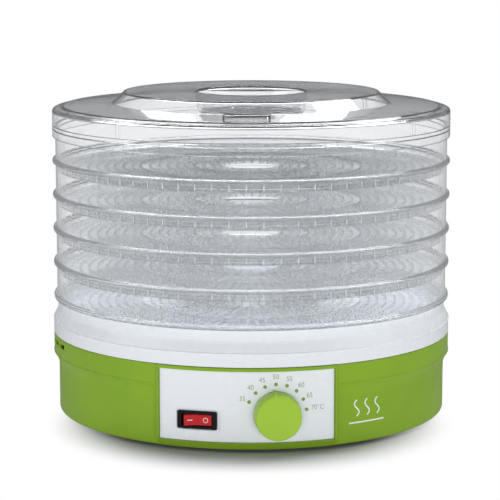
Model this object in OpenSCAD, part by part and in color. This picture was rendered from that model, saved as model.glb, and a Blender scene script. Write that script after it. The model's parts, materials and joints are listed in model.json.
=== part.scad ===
// Round stacking food dehydrator: a heated fan base, five nesting trays and a lid.
// Origin: centre of the plane that the feet stand on, +Z up, control panel towards -Y.

/* [Housing] */
// Height of the rubber feet below the housing
foot_h = 3; // [2.5:0.5:4]
// Outer radius of the lower wall of the housing
base_r = 161.7; // [161:0.1:162.5]
// Outer radius of the band around the top of the lower housing
band_r = 166; // [165.8:0.1:166.5]
// Height of the lower housing, where the upper housing begins
base_h = 65; // [64.8:0.1:65.3]
// Wall thickness of both housings
wall_t = 2.2; // [2:0.1:2.4]

/* [Control panel] */
// Half the angle that the control panel covers
panel_half = 24.4; // [24:0.1:26]
// Angle from the front to the rocker switch
switch_az = -13.4; // [-14:0.1:-13]
// Height of the rocker switch above the bottom edge of the housing
switch_z = 23; // [20:0.5:26]
// Angle from the front to the temperature knob
knob_az = 8.2; // [7.5:0.1:9]
// Height of the knob above the bottom edge of the housing
knob_z = 28.4; // [27:0.1:30]
// Radius of the knob at its foot
knob_r = 18.5; // [17.5:0.5:19.5]
// How far the knob stands out of the panel
knob_h = 14.5; // [13.5:0.5:18]
// Angle of the knob's pointer at rest, from the panel's right
pointer_angle = 97.5; // [10:0.5:150]

/* [Trays] */
// Height that each tray adds to the stack
tray_pitch = 28.1; // [27:0.1:30]
// Outer radius of the trays' flanges
flange_r = 165.1; // [164.6:0.1:165.5]
// Outer radius of the trays' walls
tray_r = 162.5; // [162.4:0.1:162.6]
// Thickness of the flange
flange_t = 3.5; // [3:0.1:4]
// How deep a tray nests into the one below
nest_depth = 6.1; // [5:0.1:6.5]
// Radial ribs in the floor grid of a tray
floor_ribs = 24; // [12:2:36]

/* [Lid] */
// Outer radius of the lid's skirt
lid_r = 164.9; // [164.8:0.1:165.2]
// Radius of the flat top of the dome
dome_r = 104.5; // [102:0.5:106]
// Radius of the mouth of the well in the dome
well_r = 45; // [42:0.5:50]

/* [Fan and heater] */
// Radius of the air duct below the outlet
duct_r = 61; // [60.5:0.5:62]
// Tip radius of the fan
fan_r = 55; // [50:0.5:57]
// Number of fan blades
fan_blades = 6; // [4:1:8]
// Radius of the motor's rotor
rotor_r = 15.7; // [14:0.1:15.8]

/* [Hidden] */
$fn = 96;
EPS = 0.01;
z0 = foot_h;                              // bottom edge of the housing
panel_r = 164.5;                          // outer face of the control panel
panel_t = 1.6;
panel_low = z0 + 6.1;
panel_high = z0 + 62.3;
frame_r = 165.7;                          // lip around the panel
lip_w = 2;
seat_z = z0 + 93.7;                       // rim of the upper housing, under the first flange
deck_z = z0 + 80;                         // floor of the upper housing
flange_z = z0 + 4.4;                      // top of the inward flange of the lower housing
post_r = 148;                             // circle of the housing screws
post_angles = [45, 135, 225, 315];
foot_circle = 126;
skirt_r = tray_r - 2.5;                   // skirt of a tray, which nests inside the rim below
floor_r = skirt_r - 1.6;
lid_seat_z = seat_z + 5 * tray_pitch;     // rim of the top tray
lid_low = lid_seat_z - 6.4;               // lower edge of the lid's skirt
skirt_join = lid_r - 2;                   // where the lid's dome meets its skirt
well_join = well_r + 3;                   // where the dome meets the well
duct_low = z0 + 43;
boss_r = 68;                              // circle of the motor mount's screws
boss_angles = [90, 210, 330];
bolt_x = 20;                              // motor bolts, either side of the shaft
stator_low = z0 + 15;
stator_high = z0 + 31;
shaft_r = 2;
fan_low = z0 + 46;
fan_high = z0 + 58;
coil_z = z0 + 71;
coil_radii = [20, 31, 42, 53];
switch_d = 1.1;                           // depth of the flat seat under the switch
rocker_tilt = 10;                         // rocker's tilt either side of level
pivot_z = -4;                             // rocker's pivot below the panel's face
vent_az = [for (i = [0:7]) -68 - 6 * i];

// ---------- helpers ----------

// A flat ring between two radii
module ring(inner, outer, z, h) {
    translate([0, 0, z]) linear_extrude(h) difference() {
        circle(outer);
        circle(inner);
    }
}

// A ring sector centred on the front, turned by az
module sector(inner, outer, low, high, half, az = 0) {
    rotate([0, 0, az - 90 - half]) rotate_extrude(angle = 2 * half)
        translate([inner, low]) square([outer - inner, high - low]);
}

// Local frame on the panel: X to the right, Y up, Z straight out of its face
module on_panel(az, z) {
    rotate([0, 0, az]) translate([0, -panel_r, z]) rotate([90, 0, 0]) children();
}

// The same local frame for a single point
function panel_point(az, z, p) = [
    p[0] * cos(az) + (panel_r + p[2]) * sin(az),
    p[0] * sin(az) - (panel_r + p[2]) * cos(az),
    z + p[1]];

// Copies of the children around the vertical axis
module around(angles, radius) {
    for (a = angles) rotate([0, 0, a]) translate([radius, 0, 0]) children();
}

function unit(v) = v / norm(v);

// Direction of a path at point i
function heading(p, i) = unit(p[min(i + 1, len(p) - 1)] - p[max(i - 1, 0)]);

// A thin eight-sided tube swept along a list of points
module wire(points, r) {
    sides = 8;
    up = [0.2, 0.3, 0.93];
    rings = [for (i = [0:len(points) - 1])
        let (t = heading(points, i), u = unit(cross(up, t)), v = cross(t, u))
        for (k = [0:sides - 1]) points[i] + r * (cos(k * 45) * u + sin(k * 45) * v)];
    last = sides * (len(points) - 1);
    polyhedron(rings, concat(
        [[for (k = [0:sides - 1]) k], [for (k = [sides - 1:-1:0]) last + k]],
        [for (i = [0:len(points) - 2]) for (k = [0:sides - 1])
            let (a = i * sides, n = (k + 1) % sides) each [
                [a + k, a + sides + k, a + n], [a + n, a + sides + k, a + sides + n]]]));
}

// A pan-head screw with a cross recess: the head below z = 0 and the shank above it
module screw(head_r, head_h, shank_r, length) {
    translate([0, 0, -head_h]) difference() {
        cylinder(r = head_r, h = head_h);
        translate([-head_r * 0.6, -0.4, -EPS]) cube([head_r * 1.2, 0.8, head_h * 0.45]);
        translate([-0.4, -head_r * 0.6, -EPS]) cube([0.8, head_r * 1.2, head_h * 0.45]);
    }
    cylinder(r = shank_r, h = length);
}

// ---------- lid ----------

module lid_outside() {
    corner_r = 2.6;
    corner_z = lid_low + 20.6;
    rotate_extrude($fn = 180) polygon(concat(
        [[0, lid_low], [lid_r, lid_low]],
        [for (a = [0:15:75]) [lid_r - corner_r * (1 - cos(a)), corner_z + corner_r * sin(a)]],
        [[lid_r - 7.4, lid_low + 23.3], [155.8, lid_low + 25.2], [dome_r + 10.8, lid_low + 27.2],
         [dome_r + 1.2, lid_low + 36], [dome_r, lid_low + 36.5],
         [well_r + 1, lid_low + 36.5], [well_r, lid_low + 35.8], [well_r - 3.5, lid_low + 20],
         [0, lid_low + 20]]));
}

module lid_inside() {
    rotate_extrude($fn = 180) polygon([
        [0, lid_low - 1], [lid_r - 1.9, lid_low - 1], [lid_r - 1.9, lid_low + 20.6],
        [lid_r - 7.6, lid_low + 21.3], [155, lid_low + 23.2], [dome_r + 9.8, lid_low + 25.2],
        [dome_r + 0.2, lid_low + 34.2], [well_r + 2.6, lid_low + 34.2], [well_r - 1.4, lid_low + 18],
        [0, lid_low + 18]]);
}

// Dome of the lid, with the hollow pad at its front
module lid() color([0.85, 0.87, 0.88, 0.4]) difference() {
    union() {
        lid_outside();
        translate([-17.5, -153, lid_low + 24]) cube([35, 42, 6.5]);
    }
    lid_inside();
    translate([-15.7, -151.2, lid_low + 18]) cube([31.4, 38.4, 10.8]);
    ring(skirt_join, lid_r + 5, lid_low - 1, 60);
    translate([0, 0, lid_low - 1]) cylinder(r = well_join, h = 60);
}

module lid_skirt() color([0.85, 0.87, 0.88, 0.4]) {
    difference() {
        lid_outside();
        lid_inside();
        translate([0, 0, lid_low - 1]) cylinder(r = skirt_join, h = 60);
    }
    // ledge that rests on the rim of the top tray
    ring(tray_r - 2.1, lid_r - 1.6, lid_seat_z, 3.2);
    // paired ribs that stiffen the skirt
    for (a = [-37.8:90:233]) for (side = [-0.7, 0.7])
        rotate([0, 0, a - 90 + side]) translate([tray_r - 1.6, -0.5, lid_seat_z + 3]) cube([2.6, 1, 11]);
}

// Well in the middle of the dome, with outlet slots in its floor
module lid_well() color([0.85, 0.87, 0.88, 0.4]) difference() {
    lid_outside();
    lid_inside();
    ring(well_join, lid_r + 5, lid_low - 1, 60);
    around([15:30:345], 26) translate([-9, -1.75, lid_low + 10]) cube([18, 3.5, 15]);
}

// ---------- trays ----------

// Rim of one tray whose flange rests at height z
module tray_rim(z) color([0.85, 0.87, 0.88, 0.4]) {
    edge = 0.9;
    rim_z = z + tray_pitch - EPS;
    rotate_extrude($fn = 180) polygon([
        [floor_r, z - nest_depth], [skirt_r, z - nest_depth], [skirt_r, z], [flange_r - edge, z],
        [flange_r, z + edge], [flange_r, z + flange_t - edge], [flange_r - edge, z + flange_t],
        [tray_r, z + flange_t], [tray_r, rim_z], [tray_r - 2, rim_z],
        [tray_r - 2, z + flange_t], [floor_r, z + flange_t]]);
}

// Floor grid of the same tray
module tray_floor(z) color([0.85, 0.87, 0.88, 0.4])
    translate([0, 0, z - nest_depth]) linear_extrude(3) {
        for (r = [26.2, 48, 70, 92, 114, 136, floor_r - 0.9]) difference() {
            circle(r + 0.9);
            circle(r - 0.9);
        }
        for (i = [0:floor_ribs - 1]) rotate(i * 360 / floor_ribs)
            translate([26, -0.9]) square([floor_r - 26.9, 1.8]);
    }

module tray_1() tray_rim(seat_z);
module tray_2() tray_rim(seat_z + tray_pitch);
module tray_3() tray_rim(seat_z + 2 * tray_pitch);
module tray_4() tray_rim(seat_z + 3 * tray_pitch);
module tray_5() tray_rim(seat_z + 4 * tray_pitch);
module tray_1_floor() tray_floor(seat_z);
module tray_2_floor() tray_floor(seat_z + tray_pitch);
module tray_3_floor() tray_floor(seat_z + 2 * tray_pitch);
module tray_4_floor() tray_floor(seat_z + 3 * tray_pitch);
module tray_5_floor() tray_floor(seat_z + 4 * tray_pitch);

// ---------- housings ----------

module upper_housing() color([0.9, 0.92, 0.94]) {
    outer_r = band_r - 0.2;
    lip_r = band_r - wall_t - 0.4;
    low = z0 + base_h + 0.4;
    // skirt, flare and rim in one revolved wall
    rotate_extrude($fn = 180) polygon([
        [outer_r, low], [outer_r - 0.5, z0 + 77], [outer_r - 0.9, z0 + 78.4],
        [162.4, z0 + 83.2], [161.9, z0 + 85], [161.9, seat_z - EPS], [160.5, seat_z - EPS],
        [160.5, deck_z - wall_t], [161.2, deck_z - wall_t], [outer_r - 2.7, z0 + 76.4],
        [outer_r - 2.3, z0 + 68.2], [lip_r - 1.8, z0 + 66.8], [lip_r - 1.8, z0 + 62.9],
        [lip_r, z0 + 62.9], [lip_r, low]]);
}

// The deck closes the upper housing and carries the air duct
module housing_deck() color([0.9, 0.92, 0.94]) {
    under = deck_z - wall_t;
    difference() {
        union() {
            rotate_extrude($fn = 180) polygon([
                [160.5, deck_z], [duct_r + 2, deck_z], [duct_r + 2, deck_z + 2.4],
                [duct_r, deck_z + 2.4], [duct_r, duct_low], [duct_r + 2, duct_low],
                [duct_r + 2, under], [160.5, under]]);
            // posts for the housing screws
            around(post_angles, post_r) translate([0, 0, flange_z]) cylinder(r = 5, h = under - flange_z + 1);
            // bosses for the motor mount
            around(boss_angles, boss_r) translate([0, 0, duct_low]) cylinder(r = 4, h = under - duct_low + 1);
            around(boss_angles, duct_r + 1) translate([0, -1, duct_low]) cube([boss_r - duct_r - 3, 2, 20]);
        }
        around(post_angles, post_r) translate([0, 0, flange_z - 1]) cylinder(r = 1.5, h = 17);
        around(boss_angles, boss_r) translate([0, 0, duct_low - 1]) cylinder(r = 1.4, h = 12);
        // passage for the heater wires and the capillary tube
        translate([0, -duct_r + 4, z0 + 62]) rotate([90, 0, 0]) cylinder(r = 5, h = 10);
    }
}

module outlet_grille() color([0.9, 0.92, 0.94]) {
    low = deck_z + 2.4;
    difference() {
        union() {
            rotate_extrude() polygon([
                [0, low], [duct_r - 1.8, low], [duct_r - 1.8, deck_z - 1.5], [duct_r - 0.4, deck_z - 1.5],
                [duct_r - 0.4, low], [duct_r + 3.5, low], [duct_r + 3.5, low + 1.4],
                [duct_r + 2.9, low + 2], [0, low + 2]]);
        }
        for (r = [12:8:52]) difference() {
            ring(r, r + 5, low - 1, 5);
            for (a = [0:45:135]) rotate([0, 0, a + (r % 16 > 6 ? 22.5 : 0)])
                translate([-70, -2, low - 2]) cube([140, 4, 7]);
        }
    }
}

module lower_housing() color([0.48, 0.66, 0.2]) {
    half = panel_half + 0.1;
    frame_half = half + lip_w / 2.9;
    difference() {
        union() {
            rotate_extrude($fn = 180) polygon([
                [base_r - 1, z0], [base_r, z0 + 1], [base_r, z0 + 41.5], [band_r, z0 + 48.5],
                [band_r, z0 + base_h], [band_r - wall_t, z0 + base_h], [band_r - wall_t, z0 + 49.4],
                [base_r - wall_t, z0 + 42.4], [base_r - wall_t, flange_z], [142, flange_z],
                [142, flange_z - wall_t], [base_r - wall_t, flange_z - wall_t], [base_r - wall_t, z0]]);
            // frame around the control panel, with a chamfer along its bottom
            rotate([0, 0, -90 - frame_half]) rotate_extrude(angle = 2 * frame_half) polygon([
                [base_r - 1.5, z0 + 0.4], [base_r + 0.2, z0 + 0.4], [frame_r, z0 + 4.6],
                [frame_r, z0 + base_h - 0.1], [band_r - wall_t + EPS, z0 + base_h - 0.1],
                [band_r - wall_t + EPS, z0 + 49.4], [base_r - 1.5, z0 + 42.4]]);
        }
        // window with a ledge for the panel to rest on
        sector(panel_r - panel_t - 0.1, frame_r + 5, panel_low - 0.1, panel_high + 0.1, half);
        sector(base_r - 8, frame_r, panel_low + 2.4, panel_high - 2.4, half - 0.9);
        // air slots high on the left side of the band
        for (a = vent_az) sector(band_r - 6, band_r + 3, z0 + 57.4, z0 + 61.4, 1.8, a);
        around(post_angles, post_r) translate([0, 0, z0 + 1]) cylinder(r = 2, h = 5);
        translate([0, base_r - 6, z0 + 20]) rotate([-90, 0, 0]) cylinder(r = 7, h = 10);
    }
}

module bottom_cover() color([0.25, 0.26, 0.27]) {
    cover_r = base_r - wall_t - 0.3;
    difference() {
        union() {
            ring(0, cover_r, z0 + 0.1, 2);
            // stiffening rings on the inside
            ring(66, 68, z0 + 2, 3);
            ring(136, 138, z0 + 2, 2);
        }
        // intake slots
        for (r = [12:8:52]) difference() {
            ring(r, r + 4.5, z0 - 1, 5);
            for (a = [0:60:120]) rotate([0, 0, a]) translate([-70, -2.5, z0 - 2]) cube([140, 5, 7]);
        }
        around(post_angles, post_r) translate([0, 0, z0 - 1]) cylinder(r = 1.9, h = 5);
        around(post_angles, foot_circle) translate([0, 0, z0 - 1]) cylinder(r = 3.1, h = 5);
    }
}

module rubber_feet() color([0.12, 0.12, 0.12]) around(post_angles, foot_circle) {
    rotate_extrude() polygon([
        [0, 0], [7.4, 0], [8, 0.6], [9, z0], [3, z0], [3, z0 + 2.2], [4.4, z0 + 2.3],
        [3.2, z0 + 4.6], [0, z0 + 4.6]]);
}

module housing_screws() color([0.7, 0.71, 0.72])
    around(post_angles, post_r) translate([0, 0, z0]) screw(3.6, 1.8, 1.5, 18);

// ---------- control panel ----------

module control_panel() color([0.9, 0.92, 0.94]) {
    difference() {
        union() {
            sector(panel_r - panel_t, panel_r, panel_low, panel_high, panel_half);
            // pads behind the switch and the thermostat
            on_panel(switch_az, z0 + switch_z) translate([-19, -10.5, -3.4]) cube([38, 21, 2]);
            on_panel(knob_az, z0 + knob_z) translate([0, 0, -3.2]) cylinder(r = 12, h = 2);
        }
        on_panel(switch_az + 0.2, z0 + switch_z + 0.4) translate([-17.4, -8.3, -switch_d - 0.06]) cube([34.8, 16.6, 5]);
        on_panel(switch_az, z0 + switch_z) translate([-13.6, -6.1, -6]) cube([27.2, 12.2, 10]);
        on_panel(knob_az, z0 + knob_z) translate([0, 0, -5]) cylinder(r = 5.2, h = 8);
    }
}

module switch_body() color([0.06, 0.06, 0.07]) on_panel(switch_az, z0 + switch_z) {
    difference() {
        union() {
            translate([-16, -7.2, -switch_d]) cube([32, 14.4, 2.2]);
            translate([-13.4, -5.9, -21]) cube([26.8, 11.8, 20.5]);
        }
        translate([-12.3, -4.6, -10]) cube([24.6, 9.2, 14]);
        translate([0, 5.4, pivot_z]) rotate([90, 0, 0]) cylinder(r = 1.3, h = 10.8, $fn = 32);
        for (x = [-7, 7]) translate([x - 3.2, -0.5, -22]) cube([6.4, 1, 6]);
    }
}

module switch_rocker() color([0.75, 0.19, 0.17]) on_panel(switch_az, z0 + switch_z)
    translate([0, 0, pivot_z]) rotate([0, rocker_tilt, 0]) {
        rotate([90, 0, 0]) translate([0, 0, -4.2]) linear_extrude(8.4) polygon([
            [-11, 6.2], [0, 4.4], [11, 6.2], [9.8, 1], [5, -2], [-5, -2], [-9.8, 1]]);
        rotate([90, 0, 0]) translate([0, 0, -5.2]) cylinder(r = 1.2, h = 10.4, $fn = 32);
    }

module switch_terminals() color([0.78, 0.62, 0.3]) on_panel(switch_az, z0 + switch_z)
    for (x = [-7, 7]) translate([x - 3.15, -0.4, -28]) cube([6.3, 0.8, 11.8]);

module temperature_knob() color([0.6, 0.75, 0.28]) on_panel(knob_az, z0 + knob_z) {
    difference() {
        union() {
            rotate_extrude() polygon([
                [0, 0.8], [knob_r, 0.8], [knob_r, 1.6], [knob_r - 0.6, knob_h - 1.4],
                [knob_r - 1, knob_h - 0.4], [knob_r - 1.8, knob_h], [0, knob_h]]);
            rotate([0, 0, pointer_angle]) translate([knob_r - 3.4, -1.2, 0.8]) cube([5, 2.4, knob_h - 0.5]);
        }
        cylinder(r = knob_r - 2.4, h = knob_h - 2);
    }
    difference() {
        translate([0, 0, 3.4]) cylinder(r = 5.5, h = knob_h - 5);
        cylinder(r = 3.02, h = knob_h - 2.1);
    }
}

module thermostat_shaft() color([0.75, 0.76, 0.78]) on_panel(knob_az, z0 + knob_z)
    translate([0, 0, -12.5]) cylinder(r = 3, h = knob_h + 10.3);

module thermostat_body() color([0.7, 0.71, 0.72]) on_panel(knob_az, z0 + knob_z) {
    difference() {
        union() {
            translate([-15, -15, -18]) cube([30, 30, 13]);
            translate([0, 0, -6]) cylinder(r = 4.9, h = 8.9);
            for (x = [-11, 5]) translate([x, 15 - EPS, -14]) cube([6.3, 7, 0.8]);
        }
        translate([0, 0, -13]) cylinder(r = 3.05, h = 20);
    }
}

module thermostat_nut() color([0.75, 0.76, 0.78]) on_panel(knob_az, z0 + knob_z) difference() {
    translate([0, 0, 0.02]) cylinder(r = 8, h = 2.4, $fn = 6);
    translate([0, 0, -1]) cylinder(r = 4.95, h = 6);
}

// ---------- sensor ----------

module sensor_bulb() color([0.72, 0.45, 0.3])
    translate([-20, -duct_r - 6, z0 + 72]) rotate([0, 90, 0]) cylinder(r = 3, h = 40, $fn = 48);

module capillary_tube() color([0.72, 0.45, 0.3]) wire([
    panel_point(knob_az, z0 + knob_z, [-8, 10, -18]),
    panel_point(knob_az, z0 + knob_z, [-8, 10, -30]),
    [28, -96, z0 + 60],
    [30, -duct_r - 6, z0 + 72],
    [20, -duct_r - 6, z0 + 72]], 0.9);

// ---------- heater ----------

module heat_shield() color([0.8, 0.81, 0.82]) ring(duct_r - 0.9, duct_r - 0.4, z0 + 67.5, 9.5);

module heater_frame() color([0.78, 0.7, 0.52]) difference() {
    for (a = [0, 90]) rotate([0, 0, a + 45]) translate([-duct_r + 1.4, -0.5, coil_z - 5])
        cube([2 * duct_r - 2.8, 1, 10.5]);
    for (r = coil_radii) translate([0, 0, coil_z]) rotate_extrude() translate([r, 0]) circle(2, $fn = 32);
}

module heating_coil() color([0.55, 0.5, 0.46]) {
    for (r = coil_radii) translate([0, 0, coil_z]) rotate_extrude() translate([r, 0]) circle(1.7, $fn = 32);
    // links between neighbouring turns, and the two leads
    for (i = [0:len(coil_radii) - 2]) rotate([0, 0, i % 2 == 0 ? 90 : 270])
        translate([coil_radii[i], 0, coil_z]) rotate([0, 90, 0])
            cylinder(r = 0.8, h = coil_radii[i + 1] - coil_radii[i], $fn = 24);
    for (x = [-3, 3]) translate([x, -52.9, z0 + 62]) cylinder(r = 0.8, h = coil_z - z0 - 62, $fn = 24);
}

module thermal_fuse() color([0.86, 0.86, 0.84]) translate([-12, -46, z0 + 62]) {
    rotate([0, 90, 0]) cylinder(r = 2, h = 11, $fn = 32);
    translate([-5, 0, 0]) rotate([0, 90, 0]) cylinder(r = 0.5, h = 21, $fn = 24);
}

// ---------- motor and fan ----------

module motor_mount() color([0.7, 0.71, 0.72]) {
    low = duct_low - 1.4;
    difference() {
        union() {
            ring(57, 73, low, 1.35);
            ring(0, 25, low, 1.35);
            for (a = boss_angles) rotate([0, 0, a]) translate([20, -5, low]) cube([40, 10, 1.35]);
            for (x = [-bolt_x, bolt_x]) translate([x, 0, z0 + 37.5]) cylinder(r = 3.5, h = low - z0 - 37);
        }
        translate([0, 0, low - 1]) cylinder(r = 6, h = 4);
        around(boss_angles, boss_r) translate([0, 0, low - 1]) cylinder(r = 1.8, h = 4);
        for (x = [-bolt_x, bolt_x]) translate([x, 0, z0 + 30]) cylinder(r = 1.8, h = 20);
    }
}

module mount_screws() color([0.7, 0.71, 0.72])
    around(boss_angles, boss_r) translate([0, 0, duct_low - 1.4]) screw(3, 1.6, 1.4, 9);

module motor_stator() color([0.5, 0.51, 0.53]) translate([0, 0, stator_low])
    linear_extrude(stator_high - stator_low) difference() {
        translate([-26, -22]) square([52, 68]);
        circle(16.1);
        translate([-15, 25.5]) square([30, 9]);
        for (x = [-bolt_x, bolt_x]) translate([x, 0]) circle(1.8);
    }

module motor_winding() color([0.7, 0.38, 0.16]) difference() {
    translate([-14, 26.2, stator_low - 6]) cube([28, 27.6, stator_high - stator_low + 12]);
    translate([-20, 34.3, stator_low - 0.2]) cube([40, 11.9, stator_high - stator_low + 0.4]);
}

module motor_rotor() color([0.6, 0.61, 0.63]) difference() {
    union() {
        translate([0, 0, stator_low]) cylinder(r = rotor_r, h = stator_high - stator_low);
        translate([0, 0, stator_low - 1.5]) cylinder(r = rotor_r - 2, h = stator_high - stator_low + 3);
    }
    translate([0, 0, stator_low - 5]) cylinder(r = shaft_r + 0.02, h = 40);
}

module motor_shaft() color([0.8, 0.81, 0.82])
    translate([0, 0, z0 + 5.5]) cylinder(r = shaft_r, h = fan_high - z0 - 6);

module motor_bearings() color([0.75, 0.58, 0.3]) for (z = [z0 + 6.5, z0 + 34.5])
    ring(shaft_r + 0.05, 4.95, z, 5);

module motor_bracket(z, leg) {
    difference() {
        union() {
            translate([-26, -6, z]) cube([52, 12, 1.5]);
            translate([0, 0, z - 0.5]) cylinder(r = 7.5, h = 2.5);
            for (x = [-bolt_x, bolt_x]) translate([x, 0, leg]) cylinder(r = 3.5, h = 5.5);
        }
        translate([0, 0, z - 1]) cylinder(r = 5, h = 5);
        for (x = [-bolt_x, bolt_x]) translate([x, 0, z - 8]) cylinder(r = 1.8, h = 16);
    }
}

module motor_brackets() color([0.75, 0.76, 0.78]) {
    motor_bracket(z0 + 36, stator_high);
    motor_bracket(z0 + 8.5, z0 + 9.5);
}

module motor_bolts() color([0.7, 0.71, 0.72]) for (x = [-bolt_x, bolt_x]) translate([x, 0, 0]) {
    translate([0, 0, duct_low - 0.05]) rotate([180, 0, 0]) screw(3, 1.6, 1.5, 37);
    translate([0, 0, z0 + 6]) cylinder(r = 3.4, h = 2.4, $fn = 6);
}

module fan_impeller() color([0.2, 0.21, 0.22]) difference() {
    union() {
        translate([0, 0, fan_low]) cylinder(r = 12, h = fan_high - fan_low);
        intersection() {
            ring(8, fan_r, fan_low, fan_high - fan_low);
            for (i = [0:fan_blades - 1]) rotate([0, 0, i * 360 / fan_blades])
                translate([0, 0, (fan_low + fan_high) / 2]) rotate([35, 0, 0])
                    translate([9, -14, -0.7]) cube([fan_r, 28, 1.4]);
        }
    }
    translate([0, 0, fan_low - 1]) cylinder(r = shaft_r + 0.02, h = 30);
}

// ---------- wiring ----------

module terminal_block() color([0.88, 0.88, 0.85]) difference() {
    translate([-18, 112, z0 + 2.1]) cube([36, 16, 12]);
    for (x = [-11, 0, 11]) translate([x, 120, z0 + 7]) cylinder(r = 3, h = 10, $fn = 32);
    for (x = [-11, 0, 11]) translate([x, 111, z0 + 6]) rotate([-90, 0, 0]) cylinder(r = 1.6, h = 20, $fn = 24);
}

module cord_grommet() color([0.1, 0.1, 0.1]) translate([0, 0, z0 + 20]) rotate([-90, 0, 0])
    rotate_extrude() polygon([
        [3.2, 155], [9, 155], [9, 158.9], [6.9, 159.1], [6.9, 162.3], [9, 162.5], [8, 165.5], [3.2, 165.5]]);

module internal_wires() color([0.55, 0.25, 0.15]) {
    r = 1.2;
    // supply to the switch
    wire([[-11, 111, z0 + 6], [-40, 100, z0 + 10], [-96, 20, z0 + 10], [-80, -80, z0 + 14],
          panel_point(switch_az, z0 + switch_z, [-7, 0, -44]),
          panel_point(switch_az, z0 + switch_z, [-7, 0, -29])], r);
    // switch to thermostat
    wire([panel_point(switch_az, z0 + switch_z, [7, 0, -29]),
          panel_point(switch_az, z0 + switch_z, [7, 4, -38]),
          [-6, -122, z0 + 48],
          panel_point(knob_az, z0 + knob_z, [-8, 25, -22]),
          panel_point(knob_az, z0 + knob_z, [-8, 24.5, -13.6])], r);
    // thermostat to heater
    wire([panel_point(knob_az, z0 + knob_z, [8, 24.5, -13.6]),
          [30, -118, z0 + 60],
          [3, -86, z0 + 62],
          [3, -54, z0 + 62]], r);
    // return from the heater and the motor
    wire([[-3, -54, z0 + 62], [-3, -84, z0 + 62], [-50, -90, z0 + 50], [-100, -20, z0 + 40],
          [-90, 60, z0 + 24], [-30, 96, z0 + 20], [0, 104, z0 + 9], [0, 111, z0 + 6]], r);
    wire([[11, 111, z0 + 6], [20, 100, z0 + 8], [18, 62, z0 + 16], [10, 54.5, z0 + 22]], r);
}

// ---------- assembly ----------

lid();
lid_skirt();
lid_well();
tray_1();
tray_2();
tray_3();
tray_4();
tray_5();
tray_1_floor();
tray_2_floor();
tray_3_floor();
tray_4_floor();
tray_5_floor();
upper_housing();
housing_deck();
outlet_grille();
lower_housing();
bottom_cover();
rubber_feet();
control_panel();
temperature_knob();
thermostat_shaft();
thermostat_body();
thermostat_nut();
sensor_bulb();
capillary_tube();
switch_body();
switch_rocker();
switch_terminals();
heat_shield();
heater_frame();
heating_coil();
thermal_fuse();
motor_mount();
motor_stator();
motor_winding();
motor_rotor();
motor_shaft();
motor_bearings();
motor_brackets();
motor_bolts();
fan_impeller();
terminal_block();
cord_grommet();
internal_wires();
housing_screws();
mount_screws();
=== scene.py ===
"""Looks of a round stacking food dehydrator: green and white base, five clear trays, clear domed lid.

Lengths in the code are millimetres unless a name ends in _m. Azimuths are degrees from the front (-Y)
towards +X, and heights are above the plane that the feet stand on.
"""
import json
import math
import bmesh
import bpy
from mathutils import Matrix, Vector


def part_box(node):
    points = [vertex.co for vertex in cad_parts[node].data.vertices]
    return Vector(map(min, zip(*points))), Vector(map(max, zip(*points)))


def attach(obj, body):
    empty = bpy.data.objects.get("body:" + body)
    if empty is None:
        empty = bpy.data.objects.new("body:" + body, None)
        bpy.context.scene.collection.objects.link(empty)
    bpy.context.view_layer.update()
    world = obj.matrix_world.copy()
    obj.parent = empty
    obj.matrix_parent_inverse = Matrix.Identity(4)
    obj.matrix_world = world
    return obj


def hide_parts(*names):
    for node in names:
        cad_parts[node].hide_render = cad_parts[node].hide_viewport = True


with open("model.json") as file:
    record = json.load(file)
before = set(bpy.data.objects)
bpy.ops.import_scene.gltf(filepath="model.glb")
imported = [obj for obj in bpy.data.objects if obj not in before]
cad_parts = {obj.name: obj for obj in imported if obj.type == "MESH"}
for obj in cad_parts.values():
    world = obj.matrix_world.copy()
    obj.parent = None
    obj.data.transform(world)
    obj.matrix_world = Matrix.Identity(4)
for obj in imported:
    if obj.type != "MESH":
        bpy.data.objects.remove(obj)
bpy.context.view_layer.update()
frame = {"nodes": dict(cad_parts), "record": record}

MM = 0.001
COLUMNS = 240  # columns of a full turn


def box_mm(node):
    low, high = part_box(node)
    return low / MM, high / MM


# ---------- sizes taken from the frame ----------

base_low, base_high = box_mm("lower_housing")
upper_low, upper_high = box_mm("upper_housing")
tray_low, tray_high = box_mm("tray_1")
skirt_low, skirt_high = box_mm("lid_skirt")
lid_top = box_mm("lid")[1].z
panel_low, panel_high = box_mm("control_panel")

GROUND = base_low.z  # lower edge of the housing
BAND_R = base_high.x  # green band
SEAT = upper_high.z + 0.01  # rim that the first tray rests on
PITCH = tray_high.z - upper_high.z  # height of one tray
FLANGE_R = tray_high.x
NEST = SEAT - tray_low.z
LID_R = skirt_high.x
LID_LOW = skirt_low.z
WALL_R = BAND_R - 4.3  # lower green wall
TRAY_R = FLANGE_R - 2.6
PANEL_R = 164.5
PANEL_HALF = 24.4  # half angle of the control panel
LIP = 0.72  # angle that the lip around the panel covers
SWITCH_AZ, SWITCH_Z = -13.4, GROUND + 23
KNOB_AZ, KNOB_Z = 8.2, GROUND + 28.4
POINTER = 97.5  # angle of the knob's pointer, from the panel's right
VENTS = [-68 - 6 * i for i in range(8)]
VENT_HALF = 2.35


# ---------- mesh helpers ----------

def at(az, r, z):
    """Point in metres at an azimuth, radius and height."""
    a = math.radians(az)
    return Vector((r * math.sin(a), -r * math.cos(a), z)) * MM


def on_panel(az, z):
    """Matrix of a local frame on the panel, in metres: X right, Y up, Z straight out."""
    a = math.radians(az)
    turn = Matrix(((math.cos(a), 0, math.sin(a)), (math.sin(a), 0, -math.cos(a)), (0, 1, 0)))
    return Matrix.Translation(at(az, PANEL_R, z)) @ turn.to_4x4()


HOLD = 0.1  # from an arc to the point beside it that keeps the straight stretch's shading straight


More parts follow.
